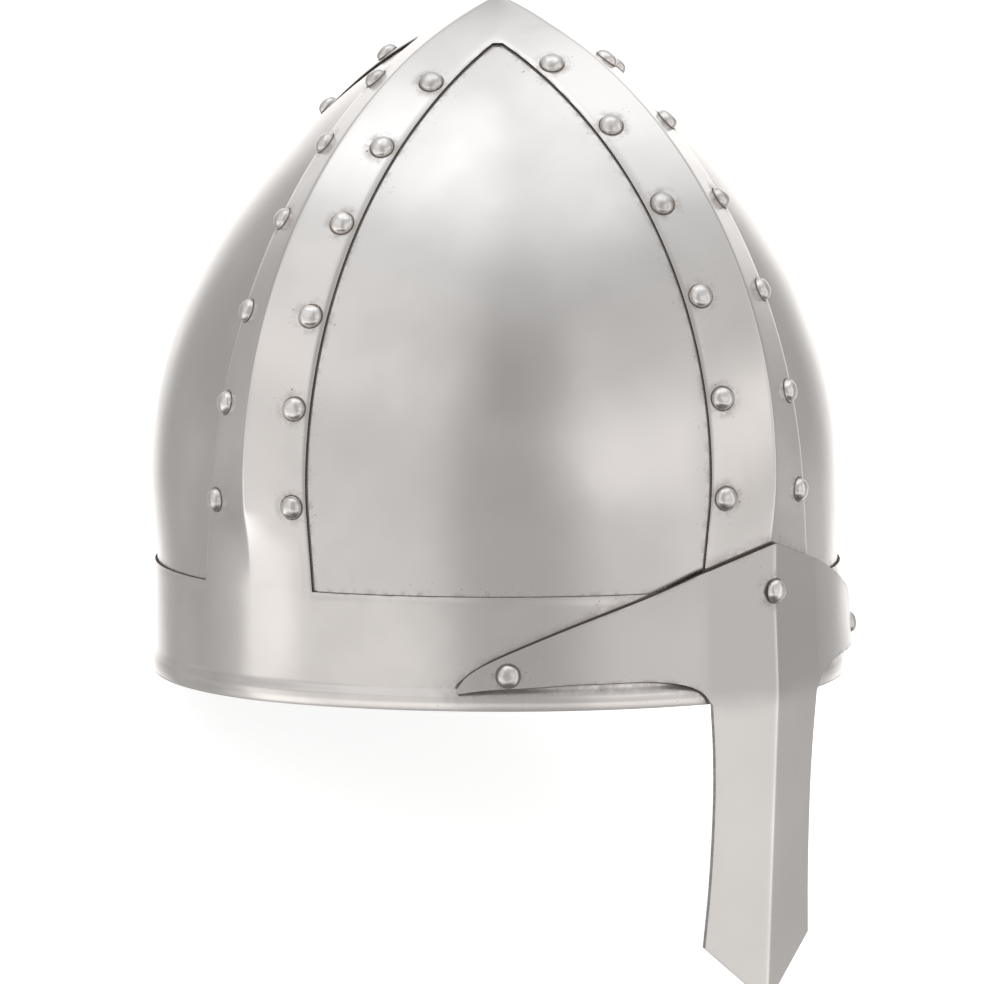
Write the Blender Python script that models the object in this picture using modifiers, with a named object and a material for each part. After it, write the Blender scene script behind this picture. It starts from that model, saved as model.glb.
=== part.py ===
"""Spangenhelm: a riveted helmet of four steel plates behind a creased frame, with a nasal.

Run it with blender --background --python part.py, or from Blender's text editor.
Lengths are in metres. The helmet is modelled upright: rim in the plane z = 0, face
towards -Y, apex on the Z axis, the wearer's left at +X. An empty then tips it back
to the way it lies on a table, on the nasal's tip and the back of the rim.
"""
import math
from collections import namedtuple

import bmesh
import bpy
from mathutils import Matrix, Vector
from mathutils.bvhtree import BVHTree

# Bowl, outside
FORE = 0.11635            # side bands' ridge to forehead
WIDTH = 0.2088            # temple to temple
HEIGHT = 0.2085           # rim to apex
APEX_LEAN = 0.0044        # how far the apex stands forward of the rim's middle
SPRING = 0.0574           # height where the walls start to lean in
BROW = 0.0344             # height of the brow band
FLARE = 0.0010            # how far the rim's rolled edge stands out
FLARE_FLAT = 0.0040       # height of the rolled edge
FLARE_TOP = 0.0072        # height where the flare has faded out

# Creased bands
BAND_WIDTH = 0.0467       # at the brow band
RIDGE_RAISE = 0.0062      # most that a ridge stands out from the bowl's curve
FRONT_CREASE = 0.0018     # ridge kept by the front band where it crosses the brow band

# Shape of the bowl and its bands. Each row is a height, as a share of the way from the
# brow band's top to the apex, with the band's width as a share of BAND_WIDTH, the ridge
# as a share of RIDGE_RAISE, the power of the section's front and back half, where 2 is an
# ellipse and less is pointed, and the back half's length as a share of the front half's.
Section = namedtuple("Section", "up width ridge front back aft")
SECTIONS = (
    Section(0.00, 1.00, 0.00, 1.86, 1.87, 0.952),
    Section(0.20, 0.86, 0.70, 1.80, 1.88, 0.966),
    Section(0.60, 0.74, 1.00, 1.62, 1.62, 1.000),
    Section(0.90, 0.70, 0.62, 1.38, 1.38, 1.000),
    Section(1.00, 0.70, 0.00, 1.30, 1.30, 1.000),
)

# Sheet
FRAME_SHEET = 0.0012
PLATE_SHEET = 0.0012
NASAL_SHEET = 0.0016
CLEAR = 0.0003            # gap kept between pieces that touch on the real helmet
NASAL_SEAT = 0.0004       # the same gap under the nasal, whose facets cross the frame's

# Plates
PLATE_STOP = 0.007        # a plate's edge stops this far from the ridge
PLATE_TUCK = 0.012        # how far a plate runs down behind the brow band
PLATE_TIP = 0.003         # how far it runs up past the window's tip
PLATE_BELLY = 0.0021      # how far its middle is hammered out past the bowl's curve

# Nasal
NASAL_TOP = 0.0474        # top of its point above the rim
NASAL_DROP = 0.0913       # tip below the rim
BAR_WIDTH = 0.0446
BAR_LEAN = 0.0052         # how far the bar leans in towards its tip
TIP_WIDTH = 0.0040        # blunt end of the tip
WING_SPAN = WIDTH * 0.792  # straight across the brow band, tip to tip
WING_TIP = 0.0106         # height above the rim where a wing's upper edge turns to its tip
WING_LOW = 0.0083         # lower edge beside the bar

# Nasal outline. A wing's stations run from the bar's edge, 0, to the wing's tip, 1; low
# is the lower edge as a share of WING_LOW and high the upper edge as a share of the fall
# from NASAL_TOP to WING_TIP. The bar's stations run from the rim, 0, to the tip, 1.
Wing = namedtuple("Wing", "out low high")
WING = (
    Wing(0.000, 0.00, 0.182),
    Wing(0.056, 0.49, 0.212),
    Wing(0.150, 0.81, 0.274),
    Wing(0.300, 0.99, 0.375),
    Wing(0.480, 1.00, 0.498),
    Wing(0.625, 0.98, 0.609),
    Wing(0.775, 0.89, 0.745),
    Wing(0.905, 0.81, 0.889),
    Wing(0.970, 0.71, 1.000),
    Wing(1.000, 0.65, 1.110),
)
Bar = namedtuple("Bar", "down width")
BAR = (
    Bar(0.155, 0.94),
    Bar(0.340, 0.91),
    Bar(0.600, 0.93),
    Bar(0.815, 0.99),
)

# Rivets
HEAD_RADIUS = 0.0036
HEAD_HEIGHT = 0.0027
SHANK_RADIUS = 0.0015
TAIL_RADIUS = 0.0026
TAIL_HEIGHT = 0.0008
RIVET_PLAY = 0.0002       # extra length under the head, which may straddle two facets
HOLE_SIDES = 5
RIVET_EDGE = 0.0045       # rivet line to the band's edge
# Heights of the six rivets of a column, as shares of the way from the brow band's top
# to the apex, on the two side bands and on the front and back bands.
Row = namedtuple("Row", "side front")
ROWS = (
    Row(0.146, 0.159),
    Row(0.316, 0.331),
    Row(0.474, 0.505),
    Row(0.630, 0.660),
    Row(0.756, 0.790),
    Row(0.862, 0.891),
)
CENTRE_RIVET = 0.0329     # height of the rivet on the nasal's crease
# Wing rivets: distance out from the crease as a share of half the span, and height as a
# share of the way from the wing's lower edge to its upper edge.
WingRivet = namedtuple("WingRivet", "side out up")
WING_RIVETS = (
    WingRivet("right", 0.885, 0.38),
    WingRivet("left", 0.845, 0.52),
)

# Fineness of the mesh
ARC_STEPS = 5             # across a window
RISE_STEPS = 8            # from the spring line to the window's tip
CROWN_STEPS = 2           # from the window's tip to the apex
HEAD_SIDES = 8

FRONT, BACK = -1, 1
RIGHT, LEFT = -1, 1


def ogive_radius():
    """Radius of the arc that the walls follow from the spring line to the apex."""
    mean = (FORE + WIDTH / 2) / 2
    rise = HEIGHT - SPRING
    return (rise ** 2 + mean ** 2) / (2 * mean)


def girth(z):
    """Size of the level section at height z, as a share of the rim's."""
    mean = (FORE + WIDTH / 2) / 2
    radius = ogive_radius()
    climb = min(max(z - SPRING, 0.0), HEIGHT - SPRING)
    return max(math.sqrt(radius ** 2 - climb ** 2) - radius + mean, 0.0) / mean


def heights(start, stop, steps):
    """Heights after start and up to stop, evenly spaced along the ogive's arc."""
    radius = ogive_radius()
    low = math.asin((start - SPRING) / radius)
    high = math.asin((stop - SPRING) / radius)
    return [SPRING + radius * math.sin(low + (high - low) * k / steps) for k in range(1, steps + 1)]


def way_up(z):
    """Height z as a share of the way from the brow band's top to the apex."""
    return min(max((z - BROW) / (HEIGHT - BROW), 0.0), 1.0)


def section(z, column):
    """One column of SECTIONS at height z, on a smooth curve through its rows."""
    share = way_up(z)
    last = len(SECTIONS) - 1
    low = next((k for k in range(last) if share <= SECTIONS[k + 1].up), last - 1)

    def slope(k):
        before = SECTIONS[max(k - 1, 0)]
        after = SECTIONS[min(k + 1, last)]
        return (getattr(after, column) - getattr(before, column)) / (after.up - before.up)

    step = SECTIONS[low + 1].up - SECTIONS[low].up
    t = (share - SECTIONS[low].up) / step
    start = getattr(SECTIONS[low], column)
    end = getattr(SECTIONS[low + 1], column)
    return (
        start * (1 + 2 * t) * (1 - t) ** 2
        + end * t * t * (3 - 2 * t)
        + slope(low) * step * t * (1 - t) ** 2
        - slope(low + 1) * step * t * t * (1 - t)
    )


def half_axes(z, facing):
    """Length of the section's front or back half at height z, and half its width, with the flare."""
    fade = min(max((FLARE_TOP - z) / (FLARE_TOP - FLARE_FLAT), 0.0), 1.0)
    long = FORE * (section(z, "aft") if facing == BACK else 1.0)
    return long * girth(z) + FLARE * fade, WIDTH / 2 * girth(z) + FLARE * fade


def power_at(z, facing):
    """Power of the section at height z, on its front or back half."""
    return section(z, "front" if facing == FRONT else "back")


def meeting(z):
    """Half width at which two neighbouring bands of height z would meet."""
    long, wide = half_axes(z, FRONT)
    power = power_at(z, FRONT)
    return (long ** -power + wide ** -power) ** (-1 / power)


def half_band(z):
    """Half width of a band at height z, which above the windows ends where bands meet."""
    return min(section(z, "width") * BAND_WIDTH / 2, meeting(z))


def window_tip():
    """Height at which two neighbouring bands meet."""
    low, high = BROW, HEIGHT - CLEAR
    for _ in range(40):
        middle = (low + high) / 2
        if meeting(middle) < section(middle, "width") * BAND_WIDTH / 2:
            high = middle
        else:
            low = middle
    return low


def bowl_depth(z, off, reach, span, facing):
    """Depth of the bowl's own curve, off from the middle of the band that stands on reach."""
    power = power_at(z, facing)
    return reach * max(1 - (off / span) ** power, 0.0) ** (1 / power)


def band_depth(z, off, reach, span, facing, crease=0.0):
    """The same for the band's face: flat from ridge to edge, but rounded on the brow band."""
    half = half_band(z)
    ridge = reach + max(section(z, "ridge") * RIDGE_RAISE, crease)
    edge = bowl_depth(z, half, reach, span, facing)
    flat = ridge + (edge - ridge) * off / half
    rounded = 0.0 if crease else min(max((SPRING - z) / (SPRING - BROW), 0.0), 1.0)
    return flat + (bowl_depth(z, off, reach, span, facing) - flat) * rounded


def end_skin(x, z, facing):
    """Point of the outer skin of the front or back, x to the side at height z."""
    long, wide = half_axes(z, facing)
    if abs(x) < half_band(z):
        depth = band_depth(z, abs(x), long, wide, facing, FRONT_CREASE if facing == FRONT else 0.0)
    else:
        depth = bowl_depth(z, abs(x), long, wide, facing)
    return Vector((x, facing * depth - APEX_LEAN * way_up(z), z))


def side_skin(y, z, side):
    """Point of the outer skin of a side band, y along it from its ridge at height z."""
    facing = FRONT if y < 0 else BACK
    long, wide = half_axes(z, facing)
    depth = band_depth(z, abs(y), wide, long, facing)
    return Vector((side * depth, y - APEX_LEAN * way_up(z), z))


def face_shares(z):
    """Where a band's face has points, as shares of its half width.

    They lie on its ridge, where a plate behind it stops, and between there and its edge.
    """
    stop = PLATE_STOP / half_band(min(z, window_tip() + PLATE_TIP))
    return 0.0, stop, (1 + stop) / 2


def belly(z, share):
    """How far a plate is hammered out at height z, at a share of the way across its window."""
    climb = min(max((z - BROW) / (window_tip() - BROW), 0.0), 1.0)
    return PLATE_BELLY * math.sin(math.pi * climb) * math.sin(math.pi * share) ** 2


def quarter(z, facing, bulge=lambda z, share: 0.0):
    """Half of an end band, a window and half of a side band at height z, from +-Y to +X.

    bulge gives how far the skin stands out past the bowl's curve across the window.
    """
    shares = face_shares(z)
    if z >= HEIGHT:
        return [Vector((0.0, -APEX_LEAN, HEIGHT))] * (2 * len(shares) + ARC_STEPS + 1)
    long, wide = half_axes(z, facing)
    power = power_at(z, facing)
    half = half_band(z)
    first = math.asin(min((half / wide) ** (power / 2), 1.0))
    last = math.acos(min((half / long) ** (power / 2), 1.0))
    points = [end_skin(half * share, z, facing) for share in shares]
    for k in range(ARC_STEPS + 1):
        turn = first + (last - first) * k / ARC_STEPS
        point = Vector((wide * math.sin(turn) ** (2 / power), long * math.cos(turn) ** (2 / power), 0.0))
        point += point.normalized() * bulge(z, k / ARC_STEPS)
        points.append(Vector((point.x, facing * point.y - APEX_LEAN * way_up(z), z)))
    return points + [side_skin(facing * half * share, z, LEFT) for share in reversed(shares)]


def loft(rows, keep=lambda row, column: True, flip=False, split="FIXED"):
    """Open mesh of triangles through rows of points that run counter-clockwise and up.

    Skins that share their rows are split along the same diagonals, so they lie parallel.
    """
    mesh = bmesh.new()
    grid = [[mesh.verts.new(point) for point in row] for row in rows]
    for r in range(len(grid) - 1):
        for c in range(len(grid[r]) - 1):
            if keep(r, c):
                corners = [grid[r][c], grid[r][c + 1], grid[r + 1][c + 1], grid[r + 1][c]]
                mesh.faces.new(corners[:1] + corners[:0:-1] if flip else corners)
    bmesh.ops.delete(mesh, geom=[v for v in mesh.verts if not v.link_faces], context="VERTS")
    bmesh.ops.triangulate(mesh, faces=mesh.faces, quad_method=split)
    bmesh.ops.remove_doubles(mesh, verts=mesh.verts, dist=1e-6)
    mesh.normal_update()
    return mesh


def shift_skin(mesh, distance):
    """Move an open skin outwards by an even distance."""
    moves = [(v, v.normal * distance * v.calc_shell_factor()) for v in mesh.verts]
    for v, move in moves:
        v.co += move
    mesh.normal_update()


def steel(name, colour, roughness):
    """Bare steel."""
    material = bpy.data.materials.new(name)
    material.use_nodes = True
    shader = material.node_tree.nodes["Principled BSDF"]
    shader.inputs["Base Color"].default_value = (*colour, 1.0)
    shader.inputs["Metallic"].default_value = 1.0
    shader.inputs["Roughness"].default_value = roughness
    return material


def add_object(name, data, collection, stand):
    """Object under the stand, in a collection."""
    item = bpy.data.objects.new(name, data)
    collection.objects.link(item)
    item.parent = stand
    return item


def add_part(name, mesh, material, parts, stand):
    """Sub-part made from a bmesh."""
    data = bpy.data.meshes.new(name)
    mesh.to_mesh(data)
    mesh.free()
    data.materials.append(material)
    return add_object(name, data, parts, stand)


def thicken(item, sheet, offset):
    """Give a skin the thickness of its sheet, inwards for offset -1 and outwards for 1."""
    solidify = item.modifiers.new("sheet", "SOLIDIFY")
    solidify.thickness = sheet
    solidify.offset = offset
    solidify.use_even_offset = True
    solidify.use_quality_normals = True


def mirror(item):
    """Add the right half to a left half."""
    both = item.modifiers.new("both halves", "MIRROR")
    both.merge_threshold = 0.00001


def drill(item, cutter):
    """Cut the rivet holes."""
    holes = item.modifiers.new("rivet holes", "BOOLEAN")
    holes.operation = "DIFFERENCE"
    holes.solver = "EXACT"
    holes.object = cutter


def window_levels():
    """Heights of the window's rows of points: one at the nasal's top, which lies on them."""
    return [NASAL_TOP] + heights(SPRING, window_tip(), RISE_STEPS)


def make_frame(parts, stand):
    """Brow band and four creased bands, welded together and ground smooth."""
    brow = [0.0, FLARE_FLAT, FLARE_TOP, BROW]
    crown = heights(window_tip(), HEIGHT, CROWN_STEPS)
    levels = brow + window_levels() + crown[:-1] + [HEIGHT]
    rows = [quarter(z, FRONT) + quarter(z, BACK)[-2::-1] for z in levels]
    last = len(rows[0]) - 2

    def keep(row, column):
        place = min(column, last - column) - len(face_shares(BROW))
        return row < len(brow) - 1 or not 0 <= place < ARC_STEPS

    item = add_part("frame", loft(rows, keep), steel("frame steel", (0.62, 0.60, 0.57), 0.28), parts, stand)
    mirror(item)
    thicken(item, FRAME_SHEET, -1)
    return item


def make_plate(name, facing, side, material, parts, stand):
    """Curved plate behind a window, its edges tucked behind the frame."""
    levels = [BROW - PLATE_TUCK, BROW] + window_levels() + [window_tip() + PLATE_TIP]
    rows = []
    for z in levels:
        row = quarter(z, facing, belly)[1:-1]
        row = row if facing == FRONT else row[::-1]
        rows.append([Vector((point.x * side, point.y, z)) for point in row])
    mesh = loft(rows, flip=side == RIGHT)
    shift_skin(mesh, -FRAME_SHEET - CLEAR)
    item = add_part(name, mesh, material, parts, stand)
    thicken(item, PLATE_SHEET, -1)
    return item


def wing_edges(share):
    """Heights of the wing's lower and upper edge at a share of its reach from the bar."""
    after = next(k for k in range(1, len(WING)) if share <= WING[k].out)
    start, end = WING[after - 1], WING[after]
    t = (share - start.out) / (end.out - start.out)
    low = start.low + (end.low - start.low) * t
    high = start.high + (end.high - start.high) * t
    return low * WING_LOW, NASAL_TOP + (WING_TIP - NASAL_TOP) * high


def wing_levels(low, high):
    """Heights of a column's points; those that cross the rim's rolled edge meet its corners."""
    foot = (high - low) / 10
    start = [low, FLARE_FLAT, FLARE_TOP] if low < FLARE_FLAT else [low, low + foot, low + 2 * foot]
    return start + [start[-1] + (high - start[-1]) * share for share in (0.3, 0.65, 1.0)]


def bar_point(x, down):
    """Inner skin of the nasal's bar, down being 0 at the rim and 1 at the tip."""
    point = end_skin(x, 0.0, FRONT)
    return point + Vector((0.0, BAR_LEAN * down, -NASAL_DROP * down))


def both_sides(row):
    """Row of points that starts on the middle plane, with its mirror image before it."""
    return [Vector((-point.x, point.y, point.z)) for point in reversed(row[1:])] + row


def make_nasal(parts, stand):
    """Creased nose bar with two swept wings, cut from one plate."""
    half_bar = BAR_WIDTH / 2
    reach = WING_SPAN / 2 - half_bar
    edges = [(0.0, 0.0, NASAL_TOP), (half_bar / 2, 0.0, (NASAL_TOP + wing_edges(0.0)[1]) / 2)]
    edges += [(half_bar + reach * wing.out, *wing_edges(wing.out)) for wing in WING]
    columns = [[end_skin(x, z, FRONT) for z in wing_levels(low, high)] for x, low, high in edges]
    wing_rows = [list(row) for row in zip(*columns)]
    bar_rows = [
        [bar_point(half_bar * station.width * share, station.down) for share in (0.0, 0.5, 1.0)]
        for station in reversed(BAR)
    ]
    tip_row = [bar_point(TIP_WIDTH / 2 * share, 1.0) for share in (0.0, 0.5, 1.0)]
    blank = len(edges) - len(tip_row)
    lower = [row + [row[-1]] * blank for row in [tip_row] + bar_rows]
    rows = [both_sides(row) for row in lower + wing_rows]
    middle = len(edges) - 1

    def keep(row, column):
        return row >= len(lower) or abs(column + 0.5 - middle) < len(tip_row) - 1

    mesh = loft(rows, keep, split="SHORT_EDGE")
    shift_skin(mesh, NASAL_SEAT)
    item = add_part("nasal", mesh, steel("nasal steel", (0.66, 0.64, 0.60), 0.25), parts, stand)
    thicken(item, NASAL_SHEET, 1)
    return item


def surface_of(item):
    """Search tree of a sub-part's surface as it stands."""
    return BVHTree.FromObject(item, bpy.context.evaluated_depsgraph_get())


def seat(surface, skin, across, z):
    """Frame of a rivet on a sheet: Z along the sheet's normal, head clear of all it covers."""
    step = 0.0005
    point = skin(across, z)
    along = skin(across + step, z) - skin(across - step, z)
    normal = along.cross(skin(across, z + step) - skin(across, z - step)).normalized()
    if normal.dot(Vector((point.x, point.y, 0.0))) < 0:
        normal.negate()
    turn = normal.to_track_quat("Z", "Y").to_matrix()
    under = [Vector((0.0, 0.0, HEAD_RADIUS))]
    for k in range(HEAD_SIDES):
        angle = 2 * math.pi * k / HEAD_SIDES
        under.append(HEAD_RADIUS * Vector((math.cos(angle), math.sin(angle), 1.0)))
    hits = [surface.ray_cast(point + turn @ start, -normal)[0] for start in under]
    rise = max((hit - point).dot(normal) for hit in hits if hit)
    return Matrix.Translation(point + normal * (rise + CLEAR)) @ turn.to_4x4()


def band_rivets(surface):
    """Name and frame of each rivet through the bands and the plates."""
    placed = []
    for k, row in enumerate(ROWS, start=1):
        z = BROW + (HEIGHT - BROW) * row.front
        for facing, end in ((FRONT, "front"), (BACK, "back")):
            for side, hand in ((LEFT, "left"), (RIGHT, "right")):
                x = side * (half_band(z) - RIVET_EDGE)
                place = seat(surface, lambda u, v: end_skin(u, v, facing), x, z)
                placed.append((f"rivet_{end}_{hand}_{k}", place))
        z = BROW + (HEIGHT - BROW) * row.side
        for side, hand in ((LEFT, "left"), (RIGHT, "right")):
            for facing, end in ((FRONT, "fore"), (BACK, "aft")):
                y = facing * (half_band(z) - RIVET_EDGE)
                place = seat(surface, lambda u, v: side_skin(u, v, side), y, z)
                placed.append((f"rivet_{hand}_{end}_{k}", place))
    return placed


def nasal_rivets(surface):
    """Name and frame of each rivet through the nasal and the frame."""
    out = Vector((0.0, FRONT, 0.0))
    crease, _, _, _ = surface.ray_cast(end_skin(0.0, CENTRE_RIVET, FRONT) + out * HEAD_RADIUS, -out)
    turn = out.to_track_quat("Z", "Y").to_matrix().to_4x4()
    placed = [("rivet_nasal_centre", Matrix.Translation(crease + out * CLEAR) @ turn)]
    for rivet in WING_RIVETS:
        x = WING_SPAN / 2 * rivet.out
        low, high = wing_edges((x - BAR_WIDTH / 2) / (WING_SPAN / 2 - BAR_WIDTH / 2))
        z = low + (high - low) * rivet.up
        x *= LEFT if rivet.side == "left" else RIGHT
        place = seat(surface, lambda u, v: end_skin(u, v, FRONT), x, z)
        placed.append((f"rivet_nasal_{rivet.side}", place))
    return placed


def rivet_profile(name, grip, material):
    """Half outline of a rivet, from the top of its head to its tail, to be turned about Z."""
    outline = (
        (0.0, HEAD_HEIGHT),
        (HEAD_RADIUS * 0.62, HEAD_HEIGHT * 0.78),
        (HEAD_RADIUS, 0.0),
        (SHANK_RADIUS, 0.0),
        (SHANK_RADIUS, -grip),
        (TAIL_RADIUS, -grip - TAIL_HEIGHT),
        (0.0, -grip - TAIL_HEIGHT),
    )
    data = bpy.data.meshes.new(name)
    edges = [(k, k + 1) for k in range(len(outline) - 1)]
    data.from_pydata([(x, 0.0, z) for x, z in outline], edges, [])
    data.materials.append(material)
    return data


def make_rivet(name, profile, place, parts, stand):
    """Domed rivet, turned from its profile."""
    item = add_object(name, profile, parts, stand)
    item.matrix_local = place
    screw = item.modifiers.new("turn", "SCREW")
    screw.steps = HEAD_SIDES
    screw.render_steps = HEAD_SIDES
    screw.use_merge_vertices = True
    screw.merge_threshold = 0.00001
    screw.use_smooth_shade = True
    return item


def make_hole_cutter(places, cutters, stand):
    """One cutter with a prism for each rivet hole."""
    mesh = bmesh.new()
    flat = SHANK_RADIUS + CLEAR
    depth = 2 * (FRAME_SHEET + PLATE_SHEET + NASAL_SHEET + NASAL_SEAT + HEAD_HEIGHT)
    for place in places:
        bmesh.ops.create_cone(
            mesh, cap_ends=True, segments=HOLE_SIDES, matrix=place, depth=depth,
            radius1=flat / math.cos(math.pi / HOLE_SIDES), radius2=flat / math.cos(math.pi / HOLE_SIDES))
    data = bpy.data.meshes.new("rivet_holes")
    mesh.to_mesh(data)
    mesh.free()
    item = add_object("rivet_holes", data, cutters, stand)
    item.hide_render = True
    item.display_type = "WIRE"
    return item


def lay_down(stand, items):
    """Tip the helmet onto the nasal's tip and the back of the rim, centred on the origin."""
    tip = bar_point(0.0, 1.0).y - NASAL_SEAT
    back = end_skin(0.0, 0.0, BACK).y
    stand.rotation_euler = (-math.atan2(NASAL_DROP, back - tip), 0.0, 0.0)
    bpy.context.view_layer.update()
    graph = bpy.context.evaluated_depsgraph_get()
    points = []
    for item in items:
        shape = item.evaluated_get(graph)
        data = shape.to_mesh()
        points += [shape.matrix_world @ v.co for v in data.vertices]
        shape.to_mesh_clear()
    for axis in (0, 1):
        values = [point[axis] for point in points]
        stand.location[axis] = -(min(values) + max(values)) / 2
    stand.location.z = -min(point.z for point in points)
    bpy.context.view_layer.update()


def build():
    """Make the whole helmet."""
    for old in list(bpy.data.objects):
        bpy.data.objects.remove(old, do_unlink=True)
    parts = bpy.data.collections.new("spangenhelm")
    cutters = bpy.data.collections.new("cutters")
    bpy.context.scene.collection.children.link(parts)
    bpy.context.scene.collection.children.link(cutters)
    stand = bpy.data.objects.new("helmet", None)
    parts.objects.link(stand)

    frame = make_frame(parts, stand)
    plate_steel = steel("plate steel", (0.60, 0.58, 0.55), 0.30)
    plates = [
        make_plate(f"plate_{end}_{hand}", facing, side, plate_steel, parts, stand)
        for facing, end in ((FRONT, "front"), (BACK, "back"))
        for side, hand in ((LEFT, "left"), (RIGHT, "right"))
    ]
    nasal = make_nasal(parts, stand)

    rivet_steel = steel("rivet steel", (0.64, 0.62, 0.58), 0.24)
    band_grip = 2 * CLEAR + FRAME_SHEET + CLEAR + PLATE_SHEET + RIVET_PLAY
    nasal_grip = 2 * CLEAR + NASAL_SHEET + NASAL_SEAT + FRAME_SHEET + RIVET_PLAY
    band_profile = rivet_profile("band rivet", band_grip, rivet_steel)
    nasal_profile = rivet_profile("nasal rivet", nasal_grip, rivet_steel)
    placed = [(name, place, band_profile) for name, place in band_rivets(surface_of(frame))]
    placed += [(name, place, nasal_profile) for name, place in nasal_rivets(surface_of(nasal))]
    rivets = [make_rivet(name, profile, place, parts, stand) for name, place, profile in placed]

    cutter = make_hole_cutter([place for _, place, _ in placed], cutters, stand)
    for item in [frame, nasal] + plates:
        drill(item, cutter)
    lay_down(stand, [frame, nasal] + plates + rivets)


build()
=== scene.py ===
"""Looks of the spangenhelm: fine meshes, worn polished steel, studio light and camera.

Lengths are in metres. Shapes are worked out upright, rim in the plane z = 0, face towards
-Y and the wearer's left at +X, and STAND then lays each piece down where the frame lies.
"""

import math
import random
from collections import namedtuple
from functools import lru_cache

import bmesh
import bpy
from mathutils import Matrix, Vector, kdtree, noise


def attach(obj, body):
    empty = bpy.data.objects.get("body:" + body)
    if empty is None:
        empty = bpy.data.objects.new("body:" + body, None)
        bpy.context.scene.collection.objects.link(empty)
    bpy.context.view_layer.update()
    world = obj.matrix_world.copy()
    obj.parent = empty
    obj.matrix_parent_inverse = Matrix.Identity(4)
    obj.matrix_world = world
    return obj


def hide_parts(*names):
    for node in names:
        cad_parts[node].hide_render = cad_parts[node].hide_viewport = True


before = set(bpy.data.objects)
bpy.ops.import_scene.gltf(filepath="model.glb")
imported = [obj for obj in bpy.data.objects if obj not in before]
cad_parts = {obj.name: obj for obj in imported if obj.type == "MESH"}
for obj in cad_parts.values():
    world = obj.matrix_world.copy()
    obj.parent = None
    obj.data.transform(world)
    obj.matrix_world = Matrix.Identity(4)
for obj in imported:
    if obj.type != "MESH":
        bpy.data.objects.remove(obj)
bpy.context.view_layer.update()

# Frame: a brow band and four creased bands of 1.2 mm mild steel, welded where they meet and
# ground smooth, so that no joint shows. The bands stand on the bowl's curve at their edges
# and rise to a ridge, which melts into the round brow band.
FORE = 0.11635            # side bands' ridge to forehead
WIDTH = 0.2088            # temple to temple
HEIGHT = 0.2084           # rim to apex
APEX_LEAN = 0.0044        # how far the apex stands forward of the rim's middle
SPRING = 0.0574           # height where the walls start to lean in
BROW = 0.0344             # height of the brow band
FLARE = 0.0010            # how far the rim's rolled edge stands out
FLARE_FLAT = 0.0040       # height up to which it stands out in full
FLARE_TOP = 0.0072        # height where it is back on the bowl's wall
BEAD_TOP = 0.0029         # below this the rim's edge is rolled back in
BEAD_IN = 0.0007
BAND_WIDTH = 0.0467
RIDGE_RAISE = 0.00555
FRONT_CREASE = 0.0018     # ridge kept by the front band on the brow band
CREASE_SOFT = 0.0005      # half width over which a ridge is rounded
FRAME_SHEET = 0.0012
FRAME_BEVEL = 0.00028     # worn edge of the sheet
EDGE_SINK = 0.00050       # how far the windows' edges are filed down towards the plates
EDGE_ROLL = 0.0020        # width over which they are
TIP_GAP = 0.0030          # width at which a window is cut off square at its tip
NASAL_DROP = 0.0913       # nasal's tip below the rim, which the helmet lies on
BAR_LEAN = 0.0052         # how far the nose bar leans back at its tip
NASAL_SEAT = 0.0004       # between the frame and the nasal that lies on it

# Height as a share of the way from brow band to apex, with the band's width as a share of
# BAND_WIDTH, the ridge as a share of RIDGE_RAISE, the powers of the section's front and back
# half, and the back half's length as a share of the front half's.
Section = namedtuple("Section", "up width ridge front back aft")
SECTIONS = (
    Section(0.00, 1.00, 0.00, 1.86, 1.87, 0.952),
    Section(0.20, 0.86, 0.70, 1.80, 1.88, 0.966),
    Section(0.60, 0.74, 1.00, 1.62, 1.62, 1.000),
    Section(0.90, 0.70, 0.62, 1.38, 1.38, 1.000),
    Section(1.00, 0.70, 0.00, 1.30, 1.30, 1.000),
)
FRONT, BACK = -1, 1
RIGHT, LEFT = -1, 1


def smooth_through(table, place, key, column):
    """A column of a table at a place along its key, on a smooth curve through the rows."""
    last = len(table) - 1
    low = next((k for k in range(last) if place <= getattr(table[k + 1], key)), last - 1)

    def slope(k):
        before, after = table[max(k - 1, 0)], table[min(k + 1, last)]
        run = getattr(after, key) - getattr(before, key)
        return (getattr(after, column) - getattr(before, column)) / run

    start, end = table[low], table[low + 1]
    step = getattr(end, key) - getattr(start, key)
    t = (place - getattr(start, key)) / step
    return (
        getattr(start, column) * (1 + 2 * t) * (1 - t) ** 2
        + getattr(end, column) * t * t * (3 - 2 * t)
        + slope(low) * step * t * (1 - t) ** 2
        - slope(low + 1) * step * t * t * (1 - t)
    )


Level = namedtuple("Level", "long wide power half ridge lean rounded")


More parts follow.
